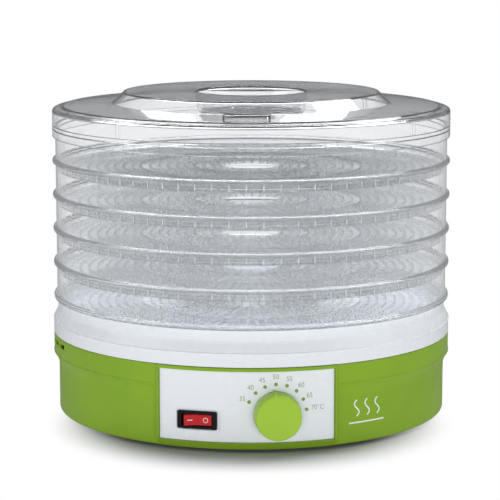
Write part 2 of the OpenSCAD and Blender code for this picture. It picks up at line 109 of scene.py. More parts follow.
def fillet(points, steps=4):
    """A closed outline in which a corner given with a third number, its radius, becomes an arc."""
    out = []
    for i, point in enumerate(points):
        here = Vector(point[:2])
        if len(point) == 2:
            out.append(tuple(here))
            continue
        back = (Vector(points[i - 1][:2]) - here).normalized()
        ahead = (Vector(points[(i + 1) % len(points)][:2]) - here).normalized()
        half = back.angle(ahead) / 2
        centre = here + (back + ahead).normalized() * point[2] / math.sin(half)
        first = here + back * point[2] / math.tan(half) - centre
        last = here + ahead * point[2] / math.tan(half) - centre
        start = math.atan2(first.y, first.x)
        sweep = math.remainder(math.atan2(last.y, last.x) - start, 2 * math.pi)
        out.append(tuple(centre + first + back * HOLD))
        for k in range(steps + 1):
            a = start + sweep * k / steps
            out.append((centre.x + point[2] * math.cos(a), centre.y + point[2] * math.sin(a)))
        out.append(tuple(centre + last + ahead * HOLD))
    return out


def stations(extra=()):
    """Azimuths around a full turn: even steps, except close to the extra ones, which are all kept."""
    step = 360 / COLUMNS
    extra = sorted(extra)
    even = [-180 + k * step for k in range(COLUMNS)]
    kept = [a for a in even if all(abs(a - e) > 0.3 * step for e in extra)]
    return sorted(kept + extra)


def plain_mesh(name, bm):
    bmesh.ops.recalc_face_normals(bm, faces=bm.faces)
    mesh = bpy.data.meshes.new(name)
    bm.to_mesh(mesh)
    bm.free()
    return mesh


def finish_mesh(name, bm, body, materials, sharp=34, replaces=()):
    """Turns the bmesh into a piece of its own."""
    return place_mesh(name, plain_mesh(name, bm), body, materials, sharp, replaces)


def place_mesh(name, mesh, body, materials, sharp=34, replaces=(), lift=0.0):
    """Makes a smooth-shaded piece of the mesh, with edges over the angle sharp kept, and lets it ride on a
    body. The lift is in metres."""
    for material in materials:
        if material.name not in mesh.materials:
            mesh.materials.append(material)
    mesh.shade_smooth()
    mesh.set_sharp_from_angle(angle=math.radians(sharp))
    piece = bpy.data.objects.new(name, mesh)
    bpy.context.scene.collection.objects.link(piece)
    piece.location.z = lift
    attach(piece, body)
    if replaces:
        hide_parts(*replaces)
    return piece


def revolve(bm, azimuths, section, holes=()):
    """Adds a closed ring: section(az) gives one closed outline of (r, z) with the same number of points
    at every azimuth. A hole is (first az, last az, (outer rows), (inner rows)), and it is walled."""
    grid = [[bm.verts.new(at(az, r, z)) for r, z in section(az)] for az in azimuths]
    columns, rows = len(grid), len(grid[0])
    open_cells = set()
    for first, last, outer, inner in holes:
        j0, j1 = azimuths.index(first), azimuths.index(last)
        for j in range(j0, j1):
            open_cells.update((j, i) for i in range(*outer))
            open_cells.update((j, i) for i in range(*inner))
            wall(bm, grid[j][outer[0]], grid[j + 1][outer[0]], grid[j + 1][inner[1]], grid[j][inner[1]])
            wall(bm, grid[j][outer[1]], grid[j + 1][outer[1]], grid[j + 1][inner[0]], grid[j][inner[0]])
        for j in (j0, j1):
            for k in range(outer[1] - outer[0]):
                o, i = outer[0] + k, inner[1] - k
                wall(bm, grid[j][o], grid[j][o + 1], grid[j][i - 1], grid[j][i])
    for j in range(columns):
        for i in range(rows):
            if (j, i) not in open_cells:
                n, m = (j + 1) % columns, (i + 1) % rows
                wall(bm, grid[j][i], grid[n][i], grid[n][m], grid[j][m])


def wall(bm, *verts):
    return bm.faces.new(verts)


def polar_plate(bm, radii, azimuths, solid, low, high):
    """Adds a flat plate on a polar grid: solid(i, j) says whether the cell between radii i and i + 1 and
    azimuths j and j + 1 is filled. Each azimuth is a function of the radius, and they go all the way
    round."""
    rows, columns = len(radii) - 1, len(azimuths)
    verts = {}

    def vert(i, j, z):
        key = (i, j % columns, z)
        if key not in verts:
            verts[key] = bm.verts.new(at(azimuths[j % columns](radii[i]), radii[i], z))
        return verts[key]

    filled = {(i, j) for i in range(rows) for j in range(columns) if solid(i, j)}
    for i, j in sorted(filled):
        corners = ((i, j), (i + 1, j), (i + 1, j + 1), (i, j + 1))
        for z in (low, high):
            wall(bm, *(vert(a, b, z) for a, b in corners))
        sides = (((i - 1, j), (i, j), (i, j + 1)), ((i + 1, j), (i + 1, j), (i + 1, j + 1)),
                 ((i, (j - 1) % columns), (i, j), (i + 1, j)),
                 ((i, (j + 1) % columns), (i, j + 1), (i + 1, j + 1)))
        for neighbour, a, b in sides:
            if neighbour not in filled:
                wall(bm, vert(*a, low), vert(*b, low), vert(*b, high), vert(*a, high))


def loft(bm, rings, matrix=Matrix.Identity(4), closed=False):
    """Adds a solid skinned over rings of the same number of points, in mm. The ends are capped, or with
    closed the last ring joins the first."""
    loops = [[bm.verts.new(matrix @ (Vector(p) * MM)) for p in ring] for ring in rings]
    count = len(loops[0])
    pairs = list(zip(loops, loops[1:])) + ([(loops[-1], loops[0])] if closed else [])
    for one, two in pairs:
        for k in range(count):
            wall(bm, one[k], one[(k + 1) % count], two[(k + 1) % count], two[k])
    if not closed:
        wall(bm, *loops[0])
        wall(bm, *loops[-1])


def rounded_rectangle(width, height, corner, z, steps=5, centre=(0, 0)):
    ring = []
    for sx, sy, start in ((1, 1, 0), (-1, 1, 90), (-1, -1, 180), (1, -1, 270)):
        for k in range(steps + 1):
            a = math.radians(start + 90 * k / steps)
            ring.append((centre[0] + sx * (width / 2 - corner) + corner * math.cos(a),
                         centre[1] + sy * (height / 2 - corner) + corner * math.sin(a), z))
    return ring


def circle_ring(radius, z, sides=96):
    turn = 2 * math.pi / sides
    return [(radius * math.cos(turn * k), radius * math.sin(turn * k), z) for k in range(sides)]


# ---------- materials ----------

MOST_MIRRORED = 5  # mirror bounces after which a light path ends
TRAPPED_GLOW = 0.3  # brightness that such a path ends on


def new_material(name):
    material = bpy.data.materials.new(name)
    material.use_nodes = True
    tree = material.node_tree
    return material, tree, tree.nodes["Principled BSDF"]


def add(tree, kind, **settings):
    node = tree.nodes.new(kind)
    for key, value in settings.items():
        if key in node.inputs:
            node.inputs[key].default_value = value
        else:
            setattr(node, key, value)
    return node


def ramp(tree, source, low, high, first, last):
    """Maps source from low..high to first..last, which are numbers."""
    node = add(tree, "ShaderNodeMapRange", interpolation_type="SMOOTHSTEP")
    for key, value in (("From Min", low), ("From Max", high), ("To Min", first), ("To Max", last)):
        node.inputs[key].default_value = value
    tree.links.new(source, node.inputs["Value"])
    return node.outputs["Result"]


def noise_at(tree, scale, detail=3.0):
    place = add(tree, "ShaderNodeTexCoord")
    texture = add(tree, "ShaderNodeTexNoise")
    texture.inputs["Scale"].default_value = scale
    texture.inputs["Detail"].default_value = detail
    tree.links.new(place.outputs["Object"], texture.inputs["Vector"])
    return texture.outputs["Fac"]


def mix_colour(tree, factor, one, two):
    node = add(tree, "ShaderNodeMix", data_type="RGBA")
    tree.links.new(factor, node.inputs["Factor"])
    for socket in node.inputs:
        if socket.type == "RGBA":
            socket.default_value = (*one, 1) if socket.name == "A" else (*two, 1)
    return next(o for o in node.outputs if o.type == "RGBA")


def bump(tree, bsdf, height, distance_m, strength=1.0):
    node = add(tree, "ShaderNodeBump")
    node.inputs["Strength"].default_value = strength
    node.inputs["Distance"].default_value = distance_m
    tree.links.new(height, node.inputs["Height"])
    tree.links.new(node.outputs["Normal"], bsdf.inputs["Normal"])


def moulded(name, colour, shade, roughness=0.3, coat=0.0, grain=1500, depth_m=0.00002, specular=0.5):
    """Moulded plastic or rubber: slight drift of colour, uneven gloss and a fine grain."""
    material, tree, bsdf = new_material(name)
    drift = noise_at(tree, 14)
    tree.links.new(mix_colour(tree, ramp(tree, drift, 0.35, 0.65, 0, 1), colour, shade),
                   bsdf.inputs["Base Color"])
    tree.links.new(ramp(tree, noise_at(tree, 60), 0.3, 0.7, roughness * 0.85, roughness * 1.15),
                   bsdf.inputs["Roughness"])
    bsdf.inputs["Coat Weight"].default_value = coat
    bsdf.inputs["Coat Roughness"].default_value = 0.08
    bsdf.inputs["Specular IOR Level"].default_value = specular
    bump(tree, bsdf, noise_at(tree, grain, 2), depth_m, 0.5)
    return material


def metal(name, colour, roughness, stretch=(1, 1, 1), scale=400):
    """Sheet or turned metal, with brushing drawn out along one direction."""
    material, tree, bsdf = new_material(name)
    place = add(tree, "ShaderNodeTexCoord")
    mapping = add(tree, "ShaderNodeMapping")
    mapping.inputs["Scale"].default_value = stretch
    texture = add(tree, "ShaderNodeTexNoise")
    texture.inputs["Scale"].default_value = scale
    tree.links.new(place.outputs["Object"], mapping.inputs["Vector"])
    tree.links.new(mapping.outputs["Vector"], texture.inputs["Vector"])
    dark = tuple(c * 0.82 for c in colour)
    tree.links.new(mix_colour(tree, texture.outputs["Fac"], dark, colour), bsdf.inputs["Base Color"])
    tree.links.new(ramp(tree, texture.outputs["Fac"], 0.3, 0.7, roughness * 0.8, roughness * 1.25),
                   bsdf.inputs["Roughness"])
    bsdf.inputs["Metallic"].default_value = 1
    bump(tree, bsdf, texture.outputs["Fac"], 0.00003, 0.4)
    return material


def clear(name, colour, transmission=1.0, roughness=0.02, glow=TRAPPED_GLOW):
    """Clear moulded plastic, a little uneven as mouldings are. Light that is mirrored inside it more often
    than the renderer follows ends on a pale glow, in place of black."""
    material, tree, bsdf = new_material(name)
    path = add(tree, "ShaderNodeLightPath")
    trapped = ramp(tree, path.outputs["Glossy Depth"], MOST_MIRRORED - 1, MOST_MIRRORED, 0, glow)
    tree.links.new(trapped, bsdf.inputs["Emission Strength"])
    bsdf.inputs["Emission Color"].default_value = (0.97, 0.985, 1, 1)
    bsdf.inputs["Base Color"].default_value = (*colour, 1)
    tree.links.new(ramp(tree, noise_at(tree, 35), 0.3, 0.7, roughness * 0.5, roughness * 1.5),
                   bsdf.inputs["Roughness"])
    bsdf.inputs["Transmission Weight"].default_value = transmission
    bsdf.inputs["IOR"].default_value = 1.52
    bump(tree, bsdf, noise_at(tree, 22, 2), 0.0004, 0.12)
    return material


def make_materials():
    """Materials by name: one for each slot of the record, and a few finer ones."""
    return {
        "clear_plastic": clear("clear_plastic", (0.955, 0.965, 0.975)),
        "lid_plastic": clear("lid_plastic", (0.955, 0.96, 0.97), glow=0.08),
        "grid_plastic": clear("grid_plastic", (0.9, 0.915, 0.93), 0.93, 0.1),
        # half milky so the rung bars show white: a painted highlight standing in for glints along the rungs
        "rung_glint_plastic": clear("rung_glint_plastic", (0.93, 0.94, 0.95), 0.45, 0.15),
        "white_plastic": moulded("white_plastic", (0.79, 0.82, 0.86), (0.782, 0.812, 0.853), 0.26, 0.2),
        "green_plastic": moulded("green_plastic", (0.24, 0.41, 0.02), (0.22, 0.385, 0.017), 0.34,
                                 specular=0.35),
        "knob_green": moulded("knob_green", (0.36, 0.58, 0.04), (0.34, 0.555, 0.036), 0.4),
        "black_plastic": moulded("black_plastic", (0.008, 0.008, 0.009), (0.012, 0.012, 0.013), 0.3,
                                 specular=0.3),
        "dark_plastic": moulded("dark_plastic", (0.035, 0.037, 0.04), (0.05, 0.052, 0.055), 0.5,
                                grain=700, depth_m=0.00006),
        "rocker_red": moulded("rocker_red", (0.52, 0.02, 0.024), (0.46, 0.017, 0.02), 0.24, 0.05,
                              specular=0.3),
        "foot_rubber": moulded("foot_rubber", (0.02, 0.02, 0.021), (0.03, 0.03, 0.031), 0.75,
                               grain=900, depth_m=0.00008),
        "ceramic_white": moulded("ceramic_white", (0.8, 0.8, 0.76), (0.74, 0.74, 0.7), 0.45, 0.1, 800),
        "mica": moulded("mica", (0.6, 0.5, 0.32), (0.46, 0.38, 0.24), 0.4, 0.2, 90, 0.0002),
        "wire_insulation": moulded("wire_insulation", (0.36, 0.1, 0.05), (0.3, 0.08, 0.04), 0.4),
        "print_green": moulded("print_green", (0.20, 0.33, 0.05), (0.22, 0.35, 0.06), 0.45),
        "print_white": moulded("print_white", (0.86, 0.87, 0.84), (0.8, 0.81, 0.78), 0.45),
        "print_pink": moulded("print_pink", (0.88, 0.62, 0.6), (0.82, 0.56, 0.54), 0.4),
        "zinc_steel": metal("zinc_steel", (0.62, 0.63, 0.65), 0.34),
        "laminated_steel": metal("laminated_steel", (0.3, 0.3, 0.31), 0.5, (1, 1, 14), 120),
        "brass": metal("brass", (0.72, 0.53, 0.22), 0.3),
        "copper": metal("copper", (0.72, 0.34, 0.16), 0.32, (1, 1, 10), 300),
        "aluminium": metal("aluminium", (0.8, 0.81, 0.82), 0.36, (1, 1, 12), 300),
        "nichrome": metal("nichrome", (0.36, 0.33, 0.3), 0.55),
    }


# ---------- trays ----------

RUNGS = 76  # bars around the skirt of a tray
TRAY_FLOOR_R = TRAY_R - 4.1  # inside of the skirt, which the floor grid meets


def tray_mesh():
    """Wall, flange and skirt of one tray, with z = 0 where its flange rests. All five trays share it."""
    bm = bmesh.new()
    skirt = TRAY_R - 2.5
    floor_r = TRAY_FLOOR_R
    relief = 0.85
    bar = 0.5  # half width of a bar

    def outline(raised):
        r = skirt if raised else skirt - relief
        lines = [(skirt, -NEST), (skirt, -NEST + 0.9), (r, -NEST + 1.1), (r, -NEST / 2 - 0.6),
                 (skirt, -NEST / 2 - 0.4), (skirt, -NEST / 2 + 0.4), (r, -NEST / 2 + 0.6), (r, -1.1),
                 (skirt, -0.9)]
        flange = fillet([(skirt, -0.05), (FLANGE_R, 0.05, 1.2), (FLANGE_R, 3.45, 1.4), (TRAY_R, 3.5, 0.5),
                         (TRAY_R, PITCH - 0.05, 0.6), (TRAY_R - 2, PITCH - 0.05, 0.6),
                         (TRAY_R - 2, 3.6, 0.6), (floor_r, 3.0, 0.9), (floor_r, -NEST)], 3)
        return lines + flange

    raised, sunk = outline(True), outline(False)
    columns = []
    edge = math.degrees(bar / skirt)
    fade = math.degrees(0.12 / skirt)
    for k in range(RUNGS):
        centre = k * 360 / RUNGS - 180
        columns += [(centre - edge, True), (centre + edge, True), (centre + edge + fade, False),
                    (centre + 180 / RUNGS, False), (centre + 360 / RUNGS - edge - fade, False)]
    columns = dict(columns)
    azimuths = sorted(columns)
    revolve(bm, azimuths, lambda az: raised if columns[az] else sunk)
    for face in bm.faces:
        middle = face.calc_center_median() / MM
        off_centre = abs(math.remainder(math.degrees(math.atan2(middle.x, -middle.y)) + 180, 360 / RUNGS))
        on_bar = off_centre < edge and middle.xy.length > skirt - 0.1
        # the raised bars are real geometry; their half milky white plastic is a painted glint along each rung
        face.material_index = int(on_bar and -NEST + 1 < middle.z < -1)
    return plain_mesh("tray", bm)


def grid_mesh():
    """Floor grid of one tray, on the same z as its wall: rings and spokes that get closer outwards."""
    bm = bmesh.new()

    def spoke_columns(count, half, parts):
        """Azimuths, as functions of the radius, of the edges of each spoke and of points between."""
        made = []
        for k in range(count):
            centre = k * 360 / count
            for side in (-1, 1):
                made.append(lambda r, c=centre, s=side: c + s * math.degrees(half / r))
            for m in range(1, parts):
                made.append(lambda r, c=centre, f=m / parts: c + 360 / count * f)
        return made

    def zone(inner, outer, spokes, parts, pitch):
        rings = max(1, round((outer - inner) / pitch))
        middles = [inner + (outer - inner) * k / rings for k in range(rings + 1)]
        radii = [r + s * 0.75 for r in middles for s in (-1, 1)]
        span = parts + 1
        polar_plate(bm, radii, spoke_columns(spokes, 0.8, parts),
                    lambda i, j: i % 2 == 0 or j % span == 0, -NEST + 0.1, -NEST + 2.3)

    zone(26.2, 48, 24, 4, 7.3)
    zone(48, 92, 48, 2, 7.3)
    zone(92, TRAY_FLOOR_R - 0.7, 96, 1, 7.3)
    return plain_mesh("grid", bm)


def make_trays(mats):
    walls, grid = tray_mesh(), grid_mesh()
    for k in range(5):
        tray, lift = f"tray_{k + 1}", (SEAT + k * PITCH) * MM
        shell = place_mesh(tray + "_shell", walls, tray,
                           [mats["clear_plastic"], mats["rung_glint_plastic"]], replaces=[tray], lift=lift)
        shell.visible_shadow = False
        floor = place_mesh(tray + "_grid", grid, tray, [mats["grid_plastic"]],
                           replaces=[tray + "_floor"], lift=lift)
        floor.visible_shadow = k == 4  # only the top grid shades what is below it


# ---------- lid ----------

def make_lid(mats):
    """Clear lid in one piece: skirt, sloping shoulder, dome, well with outlet slots, ribs and front pad."""
    bm = bmesh.new()
    dome, well = 104.5, 45.0
    crown = lid_top - 0.2
    wall_in = LID_R - 1.9  # inner face of the skirt
    ledge = SEAT + 5 * PITCH
    corner = LID_LOW + 23.2
    outside = [(LID_R, LID_LOW, 0.6), (LID_R, corner, 2.8), (157.4, corner + 0.2, 0.8),
               (155.8, LID_LOW + 25.1, 0.8), (dome + 10.8, LID_LOW + 27.1, 1.6),
               (dome + 1.0, crown, 1.6), (well + 1, crown, 1.2), (well - 3.4, LID_LOW + 20, 1)]
    inside = [(well - 4.6, LID_LOW + 20), (well - 4.6, LID_LOW + 18.1), (well - 1.4, LID_LOW + 18.2, 0.8),
              (well + 2.6, LID_LOW + 34.2, 0.8), (dome + 0.2, LID_LOW + 34.2, 1.6),
              (dome + 9.8, LID_LOW + 25.3, 1.6), (155, LID_LOW + 23.3, 0.6),
              (LID_R - 7.6, LID_LOW + 21.4, 0.6), (wall_in, LID_LOW + 21.2, 1.2), (wall_in, ledge + 3.2, 0.4),
              (TRAY_R - 1.9, ledge + 3.0, 0.4), (TRAY_R - 1.9, ledge + 0.05, 0.4),
              (wall_in, ledge + 0.05, 0.4), (wall_in, LID_LOW, 0.5)]
    outline = fillet(outside + inside, 5)
    revolve(bm, stations(), lambda az: outline)
    # floor of the well, with its outlet slots
    slots = 12
    low, high = LID_LOW + 18.15, LID_LOW + 19.95
    half = 1.75  # half width of a slot
    hub = 8
    columns = []
    for k in range(slots):
        centre = 15 + k * 360 / slots
        for side in (-1, 1):
            columns.append(lambda r, c=centre, s=side: c + s * math.degrees(half / max(r, 12)))
        for m in (1, 2, 3):
            columns.append(lambda r, c=centre, f=m / 4: c + 360 / slots * f)
    radii = [hub, 17, 21, 27, 33, 35, well - 4.3]
    polar_plate(bm, radii, columns, lambda i, j: not (0 < i < 5 and j % 5 == 0), low, high)
    loft(bm, [circle_ring(hub + 0.1, z, 60) for z in (low, high)])
    # pairs of ribs that stiffen the skirt
    outer, inner, width = LID_R - 1.8, LID_R - 3.6, 0.17
    corners = ((-width, outer), (width, outer), (width, inner), (-width, inner))
    for a in (-37.8, 52.2, 142.2, 232.2):
        for side in (-0.7, 0.7):
            loft(bm, [[at(a + side + w, r, z) / MM for w, r in corners] for z in (ledge + 3.1, ledge + 15.4)])
    # hollow pad at the front
    pad_y, pad_w, pad_l = -132, 36.8, 41.6
    pad_foot, level = LID_LOW + 24.2, LID_LOW + 30.4
    cup = [(-3.0, level - 1.7), (-2.0, level - 2.6), (-1.8, pad_foot), (0, pad_foot),
           (0, level - 1.2), (-0.4, level - 0.4), (-1.2, level)]
    loft(bm, [rounded_rectangle(pad_w + 2 * d, pad_l + 2 * d, 3.4 + d, z, 5, (0, pad_y)) for d, z in cup])
    piece = finish_mesh("lid_shell", bm, "lid", [mats["lid_plastic"]], 30,
                        ("lid", "lid_skirt", "lid_well"))
    piece.visible_shadow = False


# ---------- housings ----------

def make_lower_housing(mats):
    """Green wall, band and the lip around the panel, with the panel's window and the air slots."""
    bm = bmesh.new()
    window = PANEL_HALF + 0.03
    frame_half = window + LIP
    band = BAND_R - 0.35  # face of the band, a little behind the bead
    slot_low, slot_high = GROUND + 57.4, GROUND + 61.4
    win_low, win_high = panel_low.z - 0.04, panel_high.z + 0.04
    top = base_high.z
    flare, bead = 37.0, 48.3  # where the wall begins to flare, and the bead along the band's lower edge
    heights = [GROUND, GROUND + 0.5, GROUND + 1.4, GROUND + 3, win_low, GROUND + 24, GROUND + flare]
    heights += [GROUND + flare + (bead - flare) * k / 6 for k in range(1, 7)]
    heights += [GROUND + bead + 0.35, GROUND + bead + 1.0, GROUND + bead + 1.5,
                slot_low, slot_high, win_high, top - 0.9, top - 0.3, top]

    def plain(z):
        """Outer radius of the wall, the hollow flare, the bead and the band."""
        h = z - GROUND
        if h < 1.4:
            return WALL_R - 0.9 * (1 - h / 1.4) ** 2
        if h < bead + 0.01:
            return WALL_R + (band - WALL_R) * max((h - flare) / (bead - flare), 0) ** 2
        if h < bead + 1.01:
            return BAND_R
        return band - (0.5 * ((z - top + 0.8) / 0.8) ** 2 if z > top - 0.8 else 0)

    def framed(z, edge):
        """Outer radius of the lip around the panel: it stands prouder than the band down to a chamfer."""
        h = z - GROUND
        proud = BAND_R + 0.3 - edge
        if h < 5.8:
            return min(proud, WALL_R - 0.4 + h * 0.82)
        return proud if z < top - 0.2 else proud - 0.4

    # how far the lip is rounded off, at each angle in from its outer edge
    lip_rounding = {0: 0.8, 0.06: 0.35, 0.16: 0.08, LIP / 2: 0, LIP - 0.16: 0.08, LIP - 0.06: 0.3}

    def outer(az, z):
        """Outer radius of the whole shell, with a fine groove outside the lip."""
        inset = frame_half - abs(az)
        if inset < -0.001:
            return plain(z) - (0.3 if inset > -0.15 and z > GROUND + 6 else 0)
        edge = next((drop for place, drop in lip_rounding.items() if abs(place - inset) < 0.001), 0)
        return max(plain(z) - 0.3, framed(z, edge))

    def section(az):
        out = [(outer(az, z), z) for z in heights]
        return out + [(min(r - 2.2, plain(z) - 2), z) for r, z in reversed(out)]

    rows = len(heights)

    def rows_of(low, high):
        a, b = heights.index(low), heights.index(high)
        return (a, b), (2 * rows - 1 - b, 2 * rows - 1 - a)

    edges = [frame_half + 0.2, frame_half + 0.1, frame_half + 0.02, window]
    edges += [frame_half - inset for inset in lip_rounding]
    extra = [s * e for s in (-1, 1) for e in edges]
    holes = [(-window, window, *rows_of(win_low, win_high))]
    for a in VENTS:
        turned = a if a > -180 else a + 360
        extra += [turned - VENT_HALF, turned + VENT_HALF]
        holes.append((turned - VENT_HALF, turned + VENT_HALF, *rows_of(slot_low, slot_high)))
    revolve(bm, stations(extra), section, holes)
    finish_mesh("lower_shell", bm, "base", [mats["green_plastic"]], 24,
                ("lower_housing",))


def make_upper_housing(mats):
    """White ring: a lap that sits in the green band, a skirt up to a small bead, a shoulder and a rim."""
    bm = bmesh.new()
    r = upper_high.x
    lap = upper_low.z
    edge = GROUND + 65.4
    bead = GROUND + 75.5
    under_deck = GROUND + 77.8
    rim, rim_r = SEAT - 0.02, 161.9
    skirt = [(r, edge, 0.5), (r - 0.2, bead - 0.3), (r + 0.2, bead, 0.2), (r + 0.2, bead + 0.8, 0.2),
             (r - 0.5, bead + 1.1), (r - 1.2, bead + 3.1, 0.9)]
    shoulder = [(162.5, GROUND + 83.2, 1.5), (rim_r, GROUND + 85.2, 1), (rim_r, rim, 0.5),
                (rim_r - 1.4, rim, 0.4), (rim_r - 1.4, under_deck), (rim_r - 0.9, under_deck)]
    inside = [(r - 2.9, GROUND + 76.4), (r - 2.5, GROUND + 68.2), (r - 4.2, GROUND + 66.8), (r - 4.2, lap),
              (r - 2.6, lap), (r - 2.6, edge)]
    outline = fillet(skirt + shoulder + inside, 4)
    revolve(bm, stations(), lambda az: outline)
    finish_mesh("upper_shell", bm, "base", [mats["white_plastic"]], 24,
                ("upper_housing",))


def make_panel(mats):
    """Curved white panel with softened edges and a flat seat for the switch."""
    bm = bmesh.new()
    low, high = panel_low.z, panel_high.z
    seat_az, seat_z = SWITCH_AZ + 0.2, SWITCH_Z + 0.4
    seat_x, seat_y = 17.4, 8.3
    hole_x, hole_y = 13.6, 6.1
    depth = 1.16
    reach = math.degrees(seat_x / PANEL_R)
    hole = math.degrees(hole_x / PANEL_R)
    step = 0.06
    azimuths = [-PANEL_HALF, -PANEL_HALF + 0.08, -PANEL_HALF + 0.22]
    azimuths += [seat_az + s * e for s in (-1, 1) for e in (reach + step, reach, hole)]
    azimuths += [PANEL_HALF - 0.22, PANEL_HALF - 0.08, PANEL_HALF]
    fill = [-24 + 1.5 * k for k in range(33)]
    azimuths = sorted(azimuths + [a for a in fill if all(abs(a - b) > 0.35 for b in azimuths)])
    heights = [low, low + 0.22, low + 0.6, seat_z - seat_y - 0.12, seat_z - seat_y, SWITCH_Z - hole_y,
               SWITCH_Z + hole_y, seat_z + seat_y, seat_z + seat_y + 0.12, low + 34, low + 45, high - 0.6,
               high - 0.22, high]

    def face(az, z):
        edge = min(az + PANEL_HALF, PANEL_HALF - az) * PANEL_R * math.pi / 180
        edge = min(edge, z - low, high - z)
        r = PANEL_R - (0.45 * (1 - edge / 0.6) ** 2 if edge < 0.6 else 0)
        if abs(az - seat_az) < reach + 0.01 and abs(z - seat_z) < seat_y + 0.01:
            return (PANEL_R - depth) / math.cos(math.radians(az - seat_az))
        return r

    front = [[bm.verts.new(at(az, face(az, z), z)) for z in heights] for az in azimuths]
    back_r = PANEL_R - 1.6
    back = [[bm.verts.new(at(az, back_r, z)) for z in heights] for az in azimuths]
    opening = [j for j, az in enumerate(azimuths[:-1])
               if seat_az - hole - 0.01 < az and azimuths[j + 1] < seat_az + hole + 0.01]
    row = heights.index(SWITCH_Z - hole_y)
    for j in range(len(azimuths) - 1):
        for i in range(len(heights) - 1):
            if not (j in opening and i == row):
                for side in (front, back):
                    wall(bm, side[j][i], side[j + 1][i], side[j + 1][i + 1], side[j][i + 1])
        for i in (0, len(heights) - 1):
            wall(bm, front[j][i], front[j + 1][i], back[j + 1][i], back[j][i])
        if j in opening:
            for i in (row, row + 1):
                wall(bm, front[j][i], front[j + 1][i], back[j + 1][i], back[j][i])
    for j in (0, len(azimuths) - 1):
        for i in range(len(heights) - 1):
            wall(bm, front[j][i], front[j][i + 1], back[j][i + 1], back[j][i])
    for j in (opening[0], opening[-1] + 1):
        wall(bm, front[j][row], front[j][row + 1], back[j][row + 1], back[j][row])
    finish_mesh("panel_face", bm, "base", [mats["white_plastic"]], 20,
                ("control_panel",))


# ---------- knob and switch ----------

def make_knob(mats):
    """Hollow green knob with a domed edge, a pointer rib and a hub for the shaft."""
    bm = bmesh.new()
    place = on_panel(KNOB_AZ, KNOB_Z)
    height = 14.5
    foot = 18.5
    outside = [(foot, 0.9), (foot, 1.7), (foot - 0.62, height - 1.9)]
    outside += [(foot - 0.62 - 1.75 * (1 - math.cos(a)), height - 1.9 + 1.75 * math.sin(a))
                for a in (math.radians(15 * k) for k in range(1, 7))]
    outside += [(12, height - 0.06), (6, height - 0.02)]
    inside = [(6, height - 2), (15.4, height - 2), (15.9, height - 2.6), (16.1, 0.9)]
    loft(bm, [circle_ring(r, z) for r, z in inside + outside], place)
    # pointer: a rib down the knob's side that runs a little way onto its face
    turn = place @ Matrix.Rotation(math.radians(POINTER), 4, "Z")
    rib = [rounded_rectangle(w, h, 0.6, z, 4, (x, 0)) for w, h, x, z in (
        (5.2, 2.2, 17.2, 0.9), (5.2, 2.2, 17.2, height - 1.4), (4.9, 2.0, 17.0, height - 0.5),
        (4.3, 1.5, 16.7, height - 0.05))]
    loft(bm, rib, turn)
    # hub that takes the shaft
    hub = [circle_ring(5.5, 3.4, 48), circle_ring(5.5, height - 1.9, 48)]
    bore = [circle_ring(3.03, height - 2.1, 48), circle_ring(3.03, 3.4, 48)]
    loft(bm, hub + bore, place, closed=True)
    finish_mesh("knob", bm, "knob", [mats["knob_green"]], 34, ("temperature_knob",))


def make_switch(mats):
    place = on_panel(SWITCH_AZ, SWITCH_Z)
    bm = bmesh.new()
    rings = [rounded_rectangle(w, h, c, z) for w, h, c, z in (
        (31.8, 14.2, 1.2, -1.1), (32, 14.4, 1.3, -0.6), (32, 14.4, 1.3, 0.55), (31.5, 13.9, 1.1, 1.0),
        (30.8, 13.2, 0.9, 1.1), (25.6, 10.0, 0.9, 1.1), (24.8, 9.4, 0.7, 0.7), (24.5, 9.2, 0.5, -0.3),
        (24.5, 9.2, 0.5, -10), (26.8, 11.8, 0.6, -10.2), (26.8, 11.8, 0.6, -1.2))]
    loft(bm, rings, place, closed=True)
    back = [rounded_rectangle(26.8, 11.8, 0.6, z) for z in (-21, -10)]
    loft(bm, back, place)
    finish_mesh("switch_bezel", bm, "base", [mats["black_plastic"]], 30,
                ("switch_body",))
    make_rocker(mats, place)


def make_rocker(mats, place):
    """Red rocker: two faces that meet in a shallow hollow, with softened edges and marks on both ends."""
    bm = bmesh.new()
    tilt = math.radians(10)
    pose = place @ Matrix.Translation((0, 0, -4 * MM)) @ Matrix.Rotation(tilt, 4, "Y")
    steps = 24

    def top(x):
        return 4.5 + 1.7 * (abs(x) / 11) ** 1.35

    # half of a cross section, from the bottom to the top face: depth below the face, half width, end inset
    half_section = [(None, 4.2, 1.0), (0.35, 4.2, 0), (0.1, 4.1, 0.12), (0, 3.85, 0.35)]
    loops = []
    for k in range(steps + 1):
        x = -11 + 22 * k / steps
        line = []
        for side, part in ((1, half_section), (-1, half_section[::-1])):
            for below, half, inset in part:
                edge = max(inset - 11, min(11 - inset, x))
                z = 0.2 if below is None else top(x) - below
                line.append((edge, side * half, z))
        loops.append(line)
    loft(bm, loops, pose)
    # pivot pin
    turn = pose @ Matrix.Rotation(math.radians(90), 4, "X")
    loft(bm, [circle_ring(1.2, z, 32) for z in (-5.1, 5.1)], turn)
    finish_mesh("rocker", bm, "rocker", [mats["rocker_red"]], 40, ("switch_rocker",))
    # marks: a dash for on and a ring for off
    for name, x in (("rocker_mark_on", -6.2), ("rocker_mark_off", 6.0)):
        bm = bmesh.new()
        slope = math.atan(1.7 * 1.35 / 11 * (abs(x) / 11) ** 0.35) * (1 if x > 0 else -1)
        place = Matrix.Translation(Vector((x, 0, top(x) + 0.03)) * MM)
        local = pose @ place @ Matrix.Rotation(-slope, 4, "Y")
        if x < 0:
            loft(bm, [rounded_rectangle(4.2, 0.75, 0.2, z, 3) for z in (-0.1, 0.06)], local)
        else:
            loft(bm, [circle_ring(2.05, -0.1, 40), circle_ring(2.05, 0.06, 40), circle_ring(1.5, 0.06, 40),
                      circle_ring(1.5, -0.1, 40)], local, closed=True)
        finish_mesh(name, bm, "rocker", [mats["print_pink"]], 34)


# ---------- print on the panel and the mark ----------

